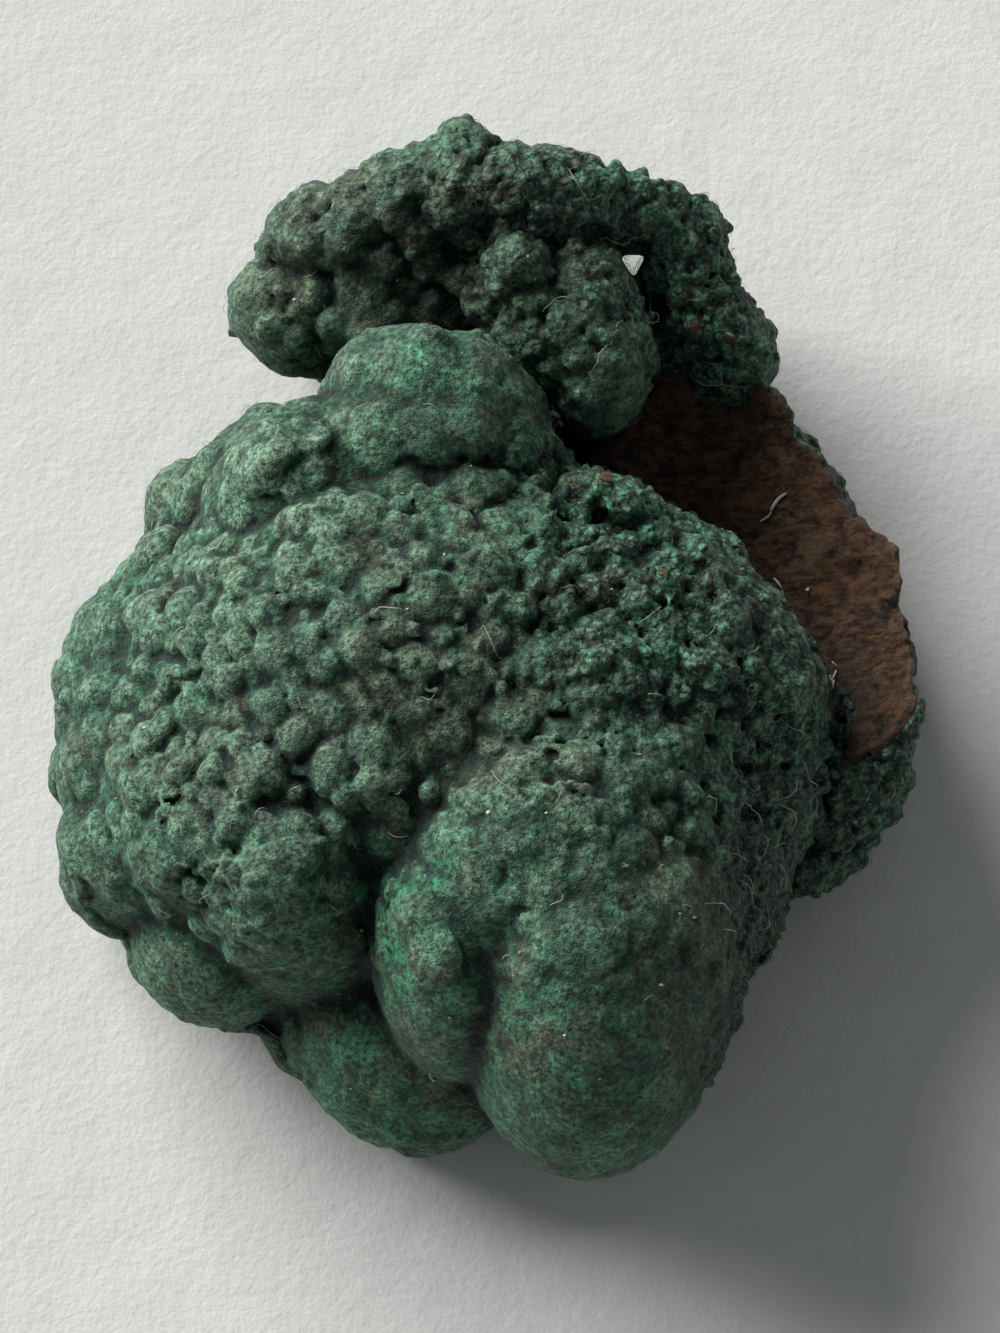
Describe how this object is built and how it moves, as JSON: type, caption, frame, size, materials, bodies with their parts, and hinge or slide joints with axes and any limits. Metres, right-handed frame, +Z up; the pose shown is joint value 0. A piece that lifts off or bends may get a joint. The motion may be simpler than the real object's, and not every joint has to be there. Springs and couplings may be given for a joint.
{
  "type": "malachite specimen",
  "caption": "Botryoidal lump of green malachite with a folded thumb, a curled arm and a raised wall with a brown hollow face; a display stone that rests on a flat cut base.",
  "frame": {"origin": "on the flat cut base, under the middle of the specimen's box", "axes": "+Z up, +Y towards the curled arm, +X towards the wall with the brown hollow face"},
  "size_m": [0.0501, 0.0642, 0.0269],
  "materials": {
    "malachite": "dull, slightly velvety botryoidal crust, dark in the creases, with a dusty bloom; the hollow face of the wall is rough brown iron oxide"
  },
  "bodies": {
    "root": {"malachite_specimen": "malachite"}
  },
  "joints": []
}
